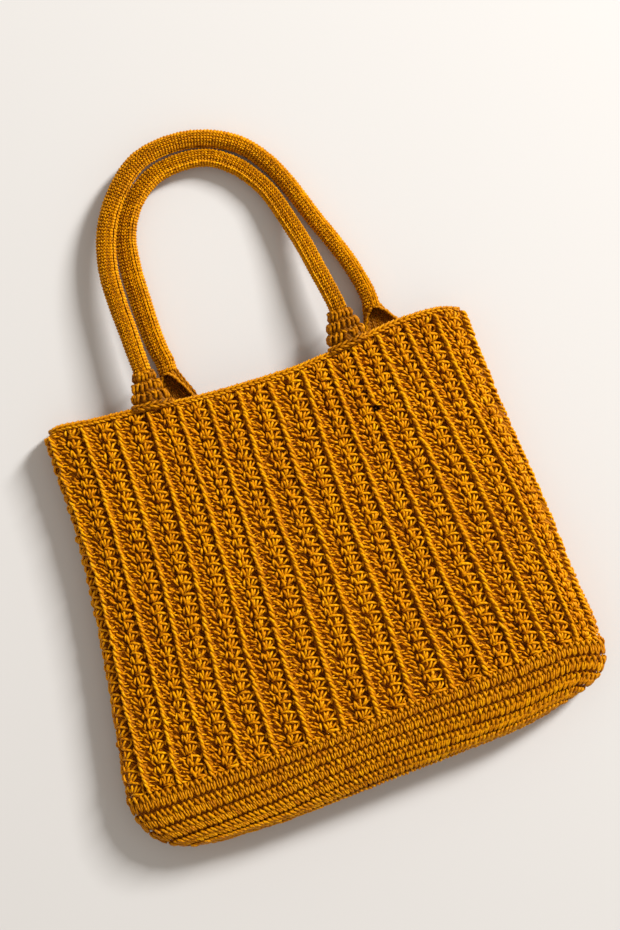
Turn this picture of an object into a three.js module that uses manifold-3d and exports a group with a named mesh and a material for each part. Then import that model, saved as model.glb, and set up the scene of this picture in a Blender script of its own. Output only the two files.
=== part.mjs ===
// A crocheted tote bag that lies on its back, with two knitted tube handles laid out above its mouth.
// Millimetres. X runs across the bag, Y from its base to its handles, Z up from the surface that it lies on.

import * as THREE from "three";
import { mergeVertices } from "three/addons/utils/BufferGeometryUtils.js";
import Module from "manifold-3d";

const wasm = await Module();
wasm.setup();

// Body: a flattened tube of ribbed crochet
const mouthWidth = 311;
const baseWidth = 352;
const bagHeight = 311; // from the underside of the base to the highest part of the rim
const mouthDepth = 30;
const baseDepth = 38;
const wallThickness = 4;
const flareLow = 0.193; // the sides draw in from this share of the height
const flareHigh = 0.788; // and run straight up from this one
const flareCurve = 1.3;
const bodyLean = 3.5; // how far the middle of the body lies to the right of its ends
const mouthSag = 11; // dip of the rim between the handles
const frontFullness = 3.5; // exponent of the rounded section: 2 is an ellipse, more is squarer
const backFullness = 5;
const sideLevel = 0.42; // height of the widest line of the side, as a share of the depth

// Ribs of raised post stitches that run from the band to the rim
const ribCount = 30;
const ribHeight = 2.2;
const ribWidth = 7;
const ribCrest = 3.6;
const ribPhase = 0.77; // the first rib's distance from the left fold, in rib spacings
const ribPress = 0.3; // how much the ribs of the back are pressed flat where the bag lies on them

// Base: a band of plain rows that closes in an oval bottom
const bandHeight = 46;
const bandRelief = 1.2; // how far the band's rows stand proud of the ground between the ribs
const baseCornerWidth = 52;
const baseCornerCurve = 2.4; // exponent of the corner: 2 is an ellipse, more is squarer
const baseEdgeDepth = 12;
const baseLift = 14.5; // how much higher the right corner of the base lies than the left one
const baseLiftStart = -0.45; // where the lift starts, as a share of half the width
const baseLiftCurve = 1.15;

// Rim: a thick chain edging round the mouth
const rimHeight = 7.5;
const rimThickness = 6.5;

// Handles: knitted tubes, each end set in a flared foot of three crochet rounds
const handleDiameter = 13;
const outerRise = 149; // from the top of the feet to the middle of the tube at the top of the arch
const innerRise = 135;
const frontFeetX = [-75.6, 67.9];
const backFeetX = [-59.5, 91.7];
const footRise = 16; // from the highest part of the rim to the top of the feet
const frontFootWidth = 30;
const frontFootDepth = 13;
const backFootWidth = 27;
const backFootDepth = 7.4;
const footFlare = 1.4; // exponent of the flare: more keeps it nearer the rim
const footWall = 2.2;
const footRounds = 3;
const footRoundBulge = 1.2;
const frontFootLap = 3.5; // how far the sleeve laps down over the rim
const backFootLap = 1.5;
const archWidth = 17.5; // the opening in the inner side of the back feet
const archHeight = 13;

const clearance = 0.3; // between pieces that meet
const surfaceGap = 0.2; // under the handles, above the surface

// Soft hollows of the front, and one swell: place and reach in shares of half the mouth's width and of the
// height, depth in shares of the mouth's depth
const frontHollows = [
  { across: -0.03, up: 0.95, reachX: 0.45, reachY: 0.12, depth: 0.08 },
  { across: 0.12, up: 0.72, reachX: 0.22, reachY: 0.23, depth: -0.053 },
  { across: -0.78, up: 0.55, reachX: 0.26, reachY: 0.29, depth: 0.06 },
];

// How far the ribs of the front stray from even spacing, in rib spacings, from the first rib on
const ribStray = [
  { mouth: -0.38, base: 0.1 },
  { mouth: -0.26, base: 0.05 },
  { mouth: -0.18, base: 0.0 },
  { mouth: -0.06, base: -0.03 },
  { mouth: -0.05, base: -0.05 },
  { mouth: -0.03, base: 0.0 },
  { mouth: 0.0, base: 0.06 },
  { mouth: 0.07, base: 0.12 },
  { mouth: 0.22, base: 0.16 },
  { mouth: 0.17, base: 0.42 },
  { mouth: 0.08, base: 0.48 },
  { mouth: 0.02, base: 0.44 },
  { mouth: 0.02, base: 0.37 },
  { mouth: 0.04, base: 0.32 },
  { mouth: -0.06, base: -0.1 },
];

// Line of the rim from the left fold to the right one: across in shares of half the mouth's width, up in
// shares of the sag
const rimLine = [
  { across: -1.0, up: 0.88 },
  { across: -0.95, up: 1.0 },
  { across: -0.77, up: 0.66 },
  { across: -0.5, up: 0.46 },
  { across: -0.34, up: 0.16 },
  { across: -0.15, up: 0.02 },
  { across: 0.15, up: 0.0 },
  { across: 0.32, up: 0.2 },
  { across: 0.5, up: 0.6 },
  { across: 0.67, up: 0.96 },
  { across: 0.8, up: 1.0 },
  { across: 0.93, up: 0.9 },
  { across: 1.0, up: 0.6 },
];

// Route of each handle from its left foot to its right one: across in shares of half the distance between
// its feet, up in shares of its rise, lift in shares of the way from the surface to the front feet's level
const outerRoute = [
  { across: -1.0, up: 0.0, lift: 1.0 },
  { across: -1.0, up: 0.03, lift: 1.0 },
  { across: -1.006, up: 0.08, lift: 0.99 },
  { across: -1.013, up: 0.187, lift: 0.92 },
  { across: -1.029, up: 0.35, lift: 0.76 },
  { across: -1.021, up: 0.514, lift: 0.62 },
  { across: -0.937, up: 0.691, lift: 0.54 },
  { across: -0.766, up: 0.843, lift: 0.5 },
  { across: -0.524, up: 0.96, lift: 0.36 },
  { across: -0.216, up: 1.0, lift: 0.15 },
  { across: 0.084, up: 0.977, lift: 0.04 },
  { across: 0.34, up: 0.903, lift: 0.0 },
  { across: 0.519, up: 0.786, lift: 0.0 },
  { across: 0.635, up: 0.655, lift: 0.0 },
  { across: 0.757, up: 0.467, lift: 0.0 },
  { across: 0.841, up: 0.35, lift: 0.0 },
  { across: 0.925, up: 0.22, lift: 0.0 },
  { across: 0.983, up: 0.093, lift: 0.0 },
  { across: 1.0, up: 0.03, lift: 0.0 },
  { across: 1.0, up: 0.0, lift: 0.0 },
];
const innerRoute = [
  { across: -1.0, up: 0.0, lift: 0.0 },
  { across: -1.0, up: 0.03, lift: 0.0 },
  { across: -1.011, up: 0.087, lift: 0.0 },
  { across: -1.016, up: 0.206, lift: 0.0 },
  { across: -1.016, up: 0.387, lift: 0.0 },
  { across: -1.011, up: 0.567, lift: 0.0 },
  { across: -0.965, up: 0.729, lift: 0.0 },
  { across: -0.799, up: 0.873, lift: 0.0 },
  { across: -0.518, up: 0.97, lift: 0.0 },
  { across: -0.185, up: 1.0, lift: 0.0 },
  { across: 0.133, up: 0.98, lift: 0.0 },
  { across: 0.389, up: 0.901, lift: 0.0 },
  { across: 0.565, up: 0.8, lift: 0.02 },
  { across: 0.684, up: 0.689, lift: 0.1 },
  { across: 0.792, up: 0.515, lift: 0.32 },
  { across: 0.861, up: 0.387, lift: 0.53 },
  { across: 0.934, up: 0.206, lift: 0.82 },
  { across: 0.982, up: 0.087, lift: 0.96 },
  { across: 1.0, up: 0.03, lift: 1.0 },
  { across: 1.0, up: 0.0, lift: 1.0 },
];

// Fineness of the faceted solids
const sectionSteps = 1440;
const wallLevels = 8;
const foldRibs = [ribCount - 2, ribCount - 1, 0, ribCount / 2 - 2, ribCount / 2 - 1, ribCount / 2];
const baseColumns = 72;
const rimColumns = 76;
const rimSides = 8;
const cornerSteps = 4;
const footColumns = 16;
const handleSides = 10;
const handleSteps = 40;

const yarn = { color: 0xc98a12, roughness: 0.85, metalness: 0 };
const ribbedYarn = new THREE.MeshStandardMaterial({ ...yarn, name: "ribbed_crochet" });
const plainYarn = new THREE.MeshStandardMaterial({ ...yarn, color: 0xbf800f, name: "plain_crochet" });
const knitYarn = new THREE.MeshStandardMaterial({ ...yarn, color: 0xcf9015, name: "knitted_tube" });

const clamp01 = (t) => Math.min(1, Math.max(0, t));
const mix = (a, b, t) => a + (b - a) * t;

// Size of the body's ground, which is the surface between the ribs, at a height above the base
function groundAt(height) {
  const flare = (1 - clamp01((height / bagHeight - flareLow) / (flareHigh - flareLow))) ** flareCurve;
  const depth = mix(baseDepth, mouthDepth, clamp01(height / bagHeight));
  return {
    halfWidth: mix(mouthWidth, baseWidth, flare) / 2 - ribHeight / 2,
    low: ribHeight - ribPress,
    high: depth - ribHeight,
    shift: bodyLean * Math.sin(Math.PI * clamp01(height / bagHeight)),
  };
}

// The same section, moved in all round by a distance, or out by a negative one
function insetBy(ground, distance) {
  return {
    halfWidth: ground.halfWidth - distance,
    low: ground.low + distance,
    high: ground.high - distance,
    shift: ground.shift,
  };
}

// Walks a section from the left fold over the front to the right fold and back under, by share of its length.
// Returns a function of that share that gives x, z and the outward normal.
function sectionWalk(ground) {
  const side = mix(ground.low, ground.high, sideLevel);
  const line = [];
  for (let i = 0; i <= sectionSteps; i++) {
    const angle = (2 * Math.PI * i) / sectionSteps;
    const front = i <= sectionSteps / 2;
    const power = 2 / (front ? frontFullness : backFullness);
    const cosine = Math.cos(angle);
    const rise = Math.abs(Math.sin(angle)) ** power;
    line.push([
      ground.shift - ground.halfWidth * Math.sign(cosine) * Math.abs(cosine) ** power,
      side + (front ? ground.high - side : ground.low - side) * rise,
    ]);
  }
  const length = [0];
  for (let i = 1; i < line.length; i++) {
    length.push(length[i - 1] + Math.hypot(line[i][0] - line[i - 1][0], line[i][1] - line[i - 1][1]));
  }
  const total = length[sectionSteps];
  const place = (share) => {
    const target = (((share % 1) + 1) % 1) * total;
    let low = 0;
    let high = sectionSteps;
    while (high - low > 1) {
      const middle = (low + high) >> 1;
      if (length[middle] <= target) low = middle;
      else high = middle;
    }
    const t = (target - length[low]) / (length[high] - length[low] || 1);
    return [mix(line[low][0], line[high][0], t), mix(line[low][1], line[high][1], t)];
  };
  const walk = (share) => {
    const [x, z] = place(share);
    const before = place(share - 1 / total);
    const after = place(share + 1 / total);
    const along = [after[0] - before[0], after[1] - before[1]];
    const size = Math.hypot(...along);
    return { x, z, normalX: -along[1] / size, normalZ: along[0] / size };
  };
  walk.total = total;
  return walk;
}

// How much higher the rows lie to the right, where the base was set down askew
function liftAt(x) {
  const halfWidth = baseWidth / 2;
  const start = baseLiftStart * halfWidth;
  return baseLift * Math.max(0, (x - start) / (halfWidth - start)) ** baseLiftCurve;
}

function rimTopAt(x) {
  const across = clamp01((x / mouthWidth) + 0.5) * 2 - 1;
  const after = Math.max(1, rimLine.findIndex((point) => point.across >= across));
  const [from, to] = [rimLine[after - 1], rimLine[after]];
  const up = mix(from.up, to.up, (across - from.across) / (to.across - from.across));
  return bagHeight - mouthSag * (1 - up);
}

const wallTopAt = (x) => rimTopAt(x) - rimHeight - clearance;
const wallBottomAt = (x) => bandHeight + liftAt(x) + clearance;

// Height of the front's soft hollows at a place, which fades out down the sides and is nothing on the back
function hollowAt(x, y, z, ground) {
  const frontness = clamp01((z - mix(ground.low, ground.high, sideLevel)) / (ground.high - ground.low));
  return frontHollows.reduce((sum, hollow) => {
    const awayX = (x / (mouthWidth / 2) - hollow.across) / hollow.reachX;
    const awayY = (y / bagHeight - hollow.up) / hollow.reachY;
    return sum + hollow.depth * mouthDepth * frontness * Math.exp(-awayX * awayX - awayY * awayY);
  }, 0);
}

// A point of the body's wall: share round the section, rise from 0 at the band to 1 at the rim
function wallPoint(share, rise, inset, proud = 0) {
  const height = mix(bandHeight, bagHeight - rimHeight, rise);
  const ground = insetBy(groundAt(height), inset);
  const at = walkAt(height, inset)(share);
  const x = at.x + at.normalX * proud;
  const y = mix(wallBottomAt(at.x), wallTopAt(at.x), rise);
  const z = at.z + at.normalZ * proud - hollowAt(at.x, y, at.z, ground);
  return [x, y, Math.max(0, z)];
}

const walks = new Map();
function walkAt(height, inset) {
  const key = height.toFixed(3) + "/" + inset.toFixed(3);
  if (!walks.has(key)) walks.set(key, sectionWalk(insetBy(groundAt(height), inset)));
  return walks.get(key);
}

// A closed body from rings of equally many points. A "joined" body's last ring meets its first, as in a tube
// with a wall; a "capped" one is closed by a fan at either end.
function loft(rings, ends) {
  const columns = rings[0].length;
  const points = rings.flat();
  const faces = [];
  const quads = ends === "joined" ? rings.length : rings.length - 1;
  for (let k = 0; k < quads; k++) {
    const here = k * columns;
    const next = ((k + 1) % rings.length) * columns;
    for (let i = 0; i < columns; i++) {
      const j = (i + 1) % columns;
      faces.push(here + i, here + j, next + i, here + j, next + j, next + i);
    }
  }
  if (ends === "capped") {
    for (const [ring, turned] of [[0, true], [rings.length - 1, false]]) {
      const middle = points.length;
      const sum = rings[ring].reduce((a, p) => a.map((v, k) => v + p[k]), [0, 0, 0]);
      points.push(sum.map((v) => v / columns));
      for (let i = 0; i < columns; i++) {
        const a = ring * columns + i;
        const b = ring * columns + ((i + 1) % columns);
        faces.push(middle, ...(turned ? [b, a] : [a, b]));
      }
    }
  }
  const geometry = new THREE.BufferGeometry();
  geometry.setAttribute("position", new THREE.Float32BufferAttribute(points.flat(), 3));
  geometry.setIndex(faces);
  return geometry;
}

function solidOf(geometry) {
  const bare = geometry.clone();
  bare.deleteAttribute("normal");
  bare.deleteAttribute("uv");
  const merged = mergeVertices(bare, 1e-3);
  const mesh = new wasm.Mesh({
    numProp: 3,
    vertProperties: merged.attributes.position.array,
    triVerts: new Uint32Array(merged.index.array),
  });
  return new wasm.Manifold(mesh);
}

function geometryOf(solid) {
  const mesh = solid.getMesh();
  const geometry = new THREE.BufferGeometry();
  geometry.setAttribute("position", new THREE.BufferAttribute(new Float32Array(mesh.vertProperties), 3));
  geometry.setIndex(new THREE.BufferAttribute(new Uint32Array(mesh.triVerts), 1));
  return geometry;
}

function piece(name, geometry, material) {
  geometry.computeVertexNormals();
  const mesh = new THREE.Mesh(geometry, material);
  mesh.name = name;
  return mesh;
}

// Shares round the section, and how far the wall stands out there: each rib has a foot, a flat crest and a foot,
// with one more column midway to the next rib, or three where the wall turns round a fold
function ribColumns(height, rise) {
  const around = walkAt(height, 0).total;
  const shareOf = (k) => {
    const stray = ribStray[k % ribCount] ?? { mouth: 0, base: 0 };
    return (k + ribPhase + mix(stray.base, stray.mouth, rise)) / ribCount;
  };
  const columns = [];
  for (let k = 0; k < ribCount; k++) {
    const spacing = (shareOf(k + 1) - shareOf(k)) * around;
    const across = [-ribWidth / 2, -ribCrest / 2, ribCrest / 2, ribWidth / 2, spacing / 2];
    if (foldRibs.includes(k)) {
      across.splice(4, 0, mix(ribWidth, spacing, 0.25) / 2);
      across.push(spacing - mix(ribWidth, spacing, 0.25) / 2);
    }
    across.forEach((offset, i) => {
      const proud = i === 1 || i === 2 ? ribHeight : 0;
      columns.push({ share: shareOf(k) + offset / around, proud });
    });
  }
  return columns;
}

function ribbedWall() {
  const outside = [];
  const inside = [];
  for (let level = 0; level < wallLevels; level++) {
    const rise = level / (wallLevels - 1);
    const height = mix(bandHeight, bagHeight - rimHeight, rise);
    const columns = ribColumns(height, rise);
    outside.push(columns.map(({ share, proud }) => wallPoint(share, rise, 0, proud)));
    inside.unshift(columns.map(({ share }) => wallPoint(share, rise, wallThickness)));
  }
  return loft([...outside, ...inside], "joined");
}

// A ring of the base: drop runs from 0 at the top of the band to 1 on the flat of the bottom. The corner is a
// quarter of an ellipse, as tall as the band.
function baseRing(turn, inset) {
  const ground = insetBy(groundAt(bandHeight), inset - bandRelief);
  const rounded = (side) => Math.max(0, side) ** (2 / baseCornerCurve);
  const drawnIn = 1 - rounded(Math.cos(turn));
  const ring = {
    halfWidth: ground.halfWidth - (baseCornerWidth - inset) * drawnIn,
    low: ground.low + (baseEdgeDepth - inset) * drawnIn,
    high: ground.high - (baseEdgeDepth - inset) * drawnIn,
    shift: ground.shift,
  };
  const walk = sectionWalk(ring);
  const height = bandHeight - (bandHeight - inset) * rounded(Math.sin(turn));
  return Array.from({ length: baseColumns }, (_, i) => {
    const { x, z } = walk(i / baseColumns);
    return [x, height + liftAt(x), Math.max(0, z)];
  });
}

// The flat oval bottom, drawn in towards its long middle line
function baseFloorRing(share, inset) {
  const edge = baseRing(Math.PI / 2, inset);
  const middleZ = (Math.min(...edge.map((p) => p[2])) + Math.max(...edge.map((p) => p[2]))) / 2;
  const straight = Math.max(...edge.map((p) => Math.abs(p[0]))) - baseEdgeDepth;
  return edge.map(([x, , z]) => {
    const heldX = Math.max(-straight, Math.min(straight, x));
    const drawnX = mix(x, heldX, share);
    return [drawnX, inset + liftAt(drawnX), mix(z, middleZ, share * 0.9)];
  });
}

function base() {
  const turns = Array.from({ length: cornerSteps + 1 }, (_, i) => (i / cornerSteps) * (Math.PI / 2));
  const outside = [...turns.map((turn) => baseRing(turn, 0)), baseFloorRing(0.9, 0)];
  const inside = [...turns.map((turn) => baseRing(turn, wallThickness)), baseFloorRing(0.9, wallThickness)];
  return loft([...outside.reverse(), ...inside], "capped");
}

// The rim's chain edging: a rounded band along the middle of the wall's top
function rimRing(extra) {
  const height = bagHeight - rimHeight;
  const walk = walkAt(height, wallThickness / 2);
  const ground = insetBy(groundAt(height), wallThickness / 2);
  const rings = [];
  for (let k = 0; k < rimSides; k++) {
    const turn = (2 * Math.PI * k) / rimSides;
    const out = (rimThickness / 2 + extra) * Math.cos(turn);
    const up = (rimHeight / 2 + extra) * Math.sin(turn);
    rings.push(
      Array.from({ length: rimColumns }, (_, i) => {
        const at = walk(i / rimColumns);
        const hollow = hollowAt(at.x, wallTopAt(at.x), at.z, ground);
        return [
          at.x + at.normalX * out,
          rimTopAt(at.x) - rimHeight / 2 + up,
          at.z + at.normalZ * out - hollow,
        ];
      }),
    );
  }
  return loft(rings, "joined");
}

// Level of the middle of the rim at a place across the mouth, on the front or on the back
function rimLevelAt(x, front) {
  const height = bagHeight - rimHeight;
  const walk = walkAt(height, wallThickness / 2);
  const ground = insetBy(groundAt(height), wallThickness / 2);
  const places = Array.from({ length: rimColumns }, (_, i) => walk((i / rimColumns + (front ? 0 : 1)) / 2));
  const nearest = places.reduce((best, at) => (Math.abs(at.x - x) < Math.abs(best.x - x) ? at : best));
  return nearest.z - hollowAt(nearest.x, wallTopAt(x), nearest.z, ground);
}
const frontFootLevel = Math.min(...frontFeetX.map((x) => rimLevelAt(x, true)));
const backFootLevel = handleDiameter / 2 + footRoundBulge + surfaceGap;
const footTop = bagHeight + footRise;

// A flared sleeve of crochet rounds, from a wide oval astride the rim to the handle's circle
function foot(x, width, depth, lap, fromLevel, toLevel) {
  const topRadius = handleDiameter / 2 + footRoundBulge / 2;
  const ring = (up, bulge, inset) => {
    const flare = (1 - Math.max(0, up)) ** footFlare;
    const halfWidth = mix(topRadius, width / 2, flare) + bulge - inset;
    const halfDepth = mix(topRadius, depth / 2, flare) + bulge / 2 - inset;
    return Array.from({ length: footColumns }, (_, i) => {
      const angle = (2 * Math.PI * i) / footColumns;
      const px = x - halfWidth * Math.cos(angle);
      const lower = rimTopAt(px) - (up < 0 ? lap : 0);
      const pz = mix(fromLevel, toLevel, Math.max(0, up)) + halfDepth * Math.sin(angle);
      return [px, mix(lower, footTop, Math.max(0, up)), Math.max(0, pz)];
    });
  };
  const outside = [ring(-1, 0, 0)];
  for (let k = 0; k <= 2 * footRounds; k++) {
    outside.push(ring(k / (2 * footRounds), k % 2 ? footRoundBulge / 2 : 0, 0));
  }
  const inside = [1, 0.5, 0, -1].map((up) => ring(up, 0, footWall));
  return solidOf(loft([...outside, ...inside], "joined"));
}

// The arch that opens a foot towards the inside of the bag, as a body to take away
function archFrom(x, level) {
  const shoulder = archHeight - archWidth / 2;
  const outline = new THREE.Shape();
  outline.moveTo(-archWidth / 2, -rimHeight - mouthSag);
  outline.lineTo(archWidth / 2, -rimHeight - mouthSag);
  outline.lineTo(archWidth / 2, shoulder);
  outline.absarc(0, shoulder, archWidth / 2, 0, Math.PI, false);
  outline.closePath();
  const settings = { depth: handleDiameter + backFootDepth, bevelEnabled: false, curveSegments: 6 };
  return solidOf(new THREE.ExtrudeGeometry(outline, settings).translate(x, rimTopAt(x), level));
}

// A knitted tube along its route, which starts and ends on its feet
function handle(leftX, rightX, rise, route) {
  const middle = (leftX + rightX) / 2;
  const halfSpan = (rightX - leftX) / 2;
  const points = route.map(({ across, up, lift }) => new THREE.Vector3(
    middle + across * halfSpan,
    footTop + clearance + up * rise,
    mix(backFootLevel, frontFootLevel, lift),
  ));
  const section = new THREE.Shape(Array.from({ length: handleSides }, (_, i) => {
    const angle = (2 * Math.PI * (i + 0.5)) / handleSides;
    return new THREE.Vector2(Math.cos(angle), Math.sin(angle)).multiplyScalar(handleDiameter / 2);
  }));
  const path = new THREE.CatmullRomCurve3(points, false, "centripetal");
  return new THREE.ExtrudeGeometry(section, { steps: handleSteps, extrudePath: path });
}

const rimAround = solidOf(rimRing(clearance));
const bag = new THREE.Group();

const body = new THREE.Group();
body.add(piece("base", base(), plainYarn));
body.add(piece("ribbed_wall", ribbedWall(), ribbedYarn));
body.add(piece("rim_edging", rimRing(0), plainYarn));
bag.add(body);

const carrying = new THREE.Group();
const [frontLeftX, frontRightX] = frontFeetX;
const [backLeftX, backRightX] = backFeetX;
for (const [name, x] of [["foot_front_left", frontLeftX], ["foot_front_right", frontRightX]]) {
  const sleeve = foot(x, frontFootWidth, frontFootDepth, frontFootLap, rimLevelAt(x, true), frontFootLevel);
  carrying.add(piece(name, geometryOf(sleeve.subtract(rimAround)), plainYarn));
}
for (const [name, x] of [["foot_back_left", backLeftX], ["foot_back_right", backRightX]]) {
  const level = rimLevelAt(x, false);
  const sleeve = foot(x, backFootWidth, backFootDepth, backFootLap, level, backFootLevel);
  carrying.add(piece(name, geometryOf(sleeve.subtract(archFrom(x, level)).subtract(rimAround)), plainYarn));
}
carrying.add(piece("handle_outer", handle(frontLeftX, backRightX, outerRise, outerRoute), knitYarn));
carrying.add(piece("handle_inner", handle(backLeftX, frontRightX, innerRise, innerRoute), knitYarn));
bag.add(carrying);

// The origin is the middle of the bag's footprint, on the surface
const bounds = new THREE.Box3().setFromObject(bag, true);
bag.position.set(-(bounds.min.x + bounds.max.x) / 2, -(bounds.min.y + bounds.max.y) / 2, -bounds.min.z);

export default bag;
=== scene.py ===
import bpy
import numpy as np
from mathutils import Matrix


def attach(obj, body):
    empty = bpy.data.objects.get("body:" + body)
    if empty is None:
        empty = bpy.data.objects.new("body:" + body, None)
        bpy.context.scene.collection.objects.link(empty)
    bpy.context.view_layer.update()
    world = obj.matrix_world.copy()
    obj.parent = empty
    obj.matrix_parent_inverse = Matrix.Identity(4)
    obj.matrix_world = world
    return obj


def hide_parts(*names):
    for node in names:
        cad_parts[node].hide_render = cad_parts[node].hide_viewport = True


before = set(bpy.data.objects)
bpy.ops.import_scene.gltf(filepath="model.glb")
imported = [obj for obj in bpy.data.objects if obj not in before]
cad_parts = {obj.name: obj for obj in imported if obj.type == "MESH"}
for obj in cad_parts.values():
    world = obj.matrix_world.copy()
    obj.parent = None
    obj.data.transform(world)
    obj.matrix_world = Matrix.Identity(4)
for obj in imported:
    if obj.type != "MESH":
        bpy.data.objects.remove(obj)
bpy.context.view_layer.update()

# Sizes are in millimetres in the bag's own axes: x across, y up from the underside of the base, z up from
# the surface. The bag's origin lies here in the row frame.
origin = np.array([-1.1, -241.36, 0.0])

# The body repeats the solid model's own sizes, but for its wall, so that the crochet lies on it.
body = dict(
    mouthWidth=311,
    baseWidth=352,
    height=311,
    mouthDepth=30,
    baseDepth=38,
    wall=3.2,  # from the surface that carries the stitches to the inside; the solid's own is 4
    flareLow=0.193,
    flareHigh=0.788,
    flareCurve=1.3,
    lean=3.5,
    sag=11,
    frontFullness=3.5,
    backFullness=5,
    sideLevel=0.42,
    ribHeight=2.2,
    ribPress=0.3,
    bandHeight=46,
    bandRelief=1.2,
    cornerWidth=52,
    cornerCurve=2.4,
    edgeDepth=12,
    lift=14.5,
    liftStart=-0.45,
    liftCurve=1.15,
    rimHeight=7.5,
    rimDrop=5.7,  # from the rim's top to the wall's last row
    turnDown=8.0,
    turnStart=0.84,
    turnCurve=1.5,
)
# How far the surfaces that carry the stitches lie inside the solids'
wallInset, baseInset = 1.4, 1.0
# No surface of the base, no ground and no strand's centre comes nearer to the floor than this.
lowest = dict(base=0.3, ground=0.05, strand=0.75)
# across in half widths, up as a share of the sag
rimLine = np.array(
    [
        [-1.0, 0.72], [-0.95, 1.0], [-0.77, 0.66], [-0.5, 0.46], [-0.34, 0.16], [-0.15, 0.02], [0.15, 0.0],
        [0.32, 0.2], [0.5, 0.6], [0.67, 0.96], [0.8, 1.0], [0.93, 0.9], [1.0, 0.42],
    ]
)
# place across and up, reach across and up, depth
hollows = [
    (-0.03, 0.95, 0.45, 0.12, 0.08),
    (0.12, 0.72, 0.22, 0.23, -0.053),
    (-0.78, 0.55, 0.26, 0.29, 0.06),
]

ribs = dict(count=30, rows=34, phase=0.77, tallerLow=0.05)
# How far each rib of the front strays from even spacing, in rib spacings, at five heights from band to rim
ribStray = np.array(
    [
        [0.11, -0.12, -0.21, -0.36, -0.38],
        [0.05, -0.1, -0.26, -0.34, -0.26],
        [0.01, -0.19, -0.21, -0.26, -0.18],
        [-0.03, -0.21, -0.18, -0.15, -0.06],
        [-0.05, -0.19, -0.17, -0.14, -0.05],
        [0.0, -0.16, -0.15, -0.13, -0.03],
        [0.06, -0.01, -0.04, -0.12, 0.0],
        [0.12, 0.08, 0.05, 0.0, 0.07],
        [0.16, 0.18, 0.1, 0.15, 0.25],
        [0.42, 0.24, 0.18, 0.19, 0.17],
        [0.48, 0.27, 0.19, 0.15, 0.07],
        [0.44, 0.36, 0.29, 0.19, 0.0],
        [0.38, 0.36, 0.37, 0.19, 0.0],
        [0.33, 0.34, 0.39, 0.19, 0.04],
        [-0.15, -0.05, 0.15, 0.05, -0.06],
    ]
)
random = np.random.default_rng(11)


def mix(a, b, t):
    return a + (b - a) * t


# The body's section at a height: half its width, its lowest and its highest point, and its lean to the right. The
# width grows from mouth to base as a power of the way down.
def sizeAt(height, inset):
    up = height / body["height"]
    ramp = np.clip((up - body["flareLow"]) / (body["flareHigh"] - body["flareLow"]), 0, 1)
    flare = (1 - ramp) ** body["flareCurve"]
    up = np.clip(up, 0, 1)
    return dict(
        halfWidth=mix(body["mouthWidth"], body["baseWidth"], flare) / 2 - body["ribHeight"] / 2 - inset,
        low=body["ribHeight"] - body["ribPress"] + inset,
        high=mix(body["baseDepth"], body["mouthDepth"], up) - body["ribHeight"] - inset,
        shift=body["lean"] * np.sin(np.pi * up),
    )


# A rounded oblong: x = cos^(2/n), z = sin^(2/n), squarer on the back than on the front. It is walked from the
# left fold over the front to the right fold and back under, and cut into equal lengths.
def section(size, shares):
    angle = np.linspace(0, 2 * np.pi, 1441)  # a quarter of a degree apart
    front = angle <= np.pi
    power = 2 / np.where(front, body["frontFullness"], body["backFullness"])
    side = mix(size["low"], size["high"], body["sideLevel"])
    x = size["shift"] - size["halfWidth"] * np.sign(np.cos(angle)) * np.abs(np.cos(angle)) ** power
    z = side + np.where(front, size["high"] - side, size["low"] - side) * np.abs(np.sin(angle)) ** power
    length = np.concatenate([[0], np.cumsum(np.hypot(np.diff(x), np.diff(z)))])
    at = (shares % 1) * length[-1]
    return np.interp(at, length, x), np.interp(at, length, z)


# The base rises towards the right as a power of the way from its start.
def liftAt(x):
    half = body["baseWidth"] / 2
    start = body["liftStart"] * half
    return body["lift"] * np.clip((x - start) / (half - start), 0, None) ** body["liftCurve"]


# At the right fold the rows turn down round the corner, as a power of the way from their start to the fold.
def turnDown(x, half):
    share = np.clip((x / half - body["turnStart"]) / (1 - body["turnStart"]), 0, 1)
    return body["turnDown"] * share ** body["turnCurve"]


# The rim's line is blurred with a bell, so that its bends are round.
blurReach = 12
fineAcross = np.linspace(-1, 1, 241)
fineUp = np.interp(fineAcross, rimLine[:, 0], rimLine[:, 1])
blur = np.exp(-((np.arange(-blurReach, blurReach + 1) / (blurReach / 2)) ** 2))
fineUp = np.convolve(np.pad(fineUp, blurReach, mode="edge"), blur / blur.sum(), mode="valid")


def rimTopAt(x):
    up = np.interp(x / (body["mouthWidth"] / 2), fineAcross, fineUp)
    return body["height"] - body["sag"] * (1 - up)


# Each hollow is a bell across and up, full at the front and nothing at the side.
def hollowAt(x, y, z, size):
    side = mix(size["low"], size["high"], body["sideLevel"])
    frontness = np.clip((z - side) / (size["high"] - size["low"]), 0, 1)
    total = 0
    for across, up, reachX, reachY, depth in hollows:
        awayX = (x / (body["mouthWidth"] / 2) - across) / reachX
        awayY = (y / body["height"] - up) / reachY
        total = total + depth * body["mouthDepth"] * frontness * np.exp(-(awayX**2) - awayY**2)
    return total


# The yarn stands out further than the solid's low ribs, so all surfaces are drawn in at the right and the bottom
# right. Sizes are in mm from the bag's own axes.
drawn = dict(
    side=2.8, sideReach=170, sideCurve=1.5,
    bottom=2.5, bottomHeight=60, bottomFrom=-70, bottomOver=140,
    corner=8.0, cornerAt=156, cornerReach=36, cornerHeight=66, cornerOver=60,
)


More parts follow.
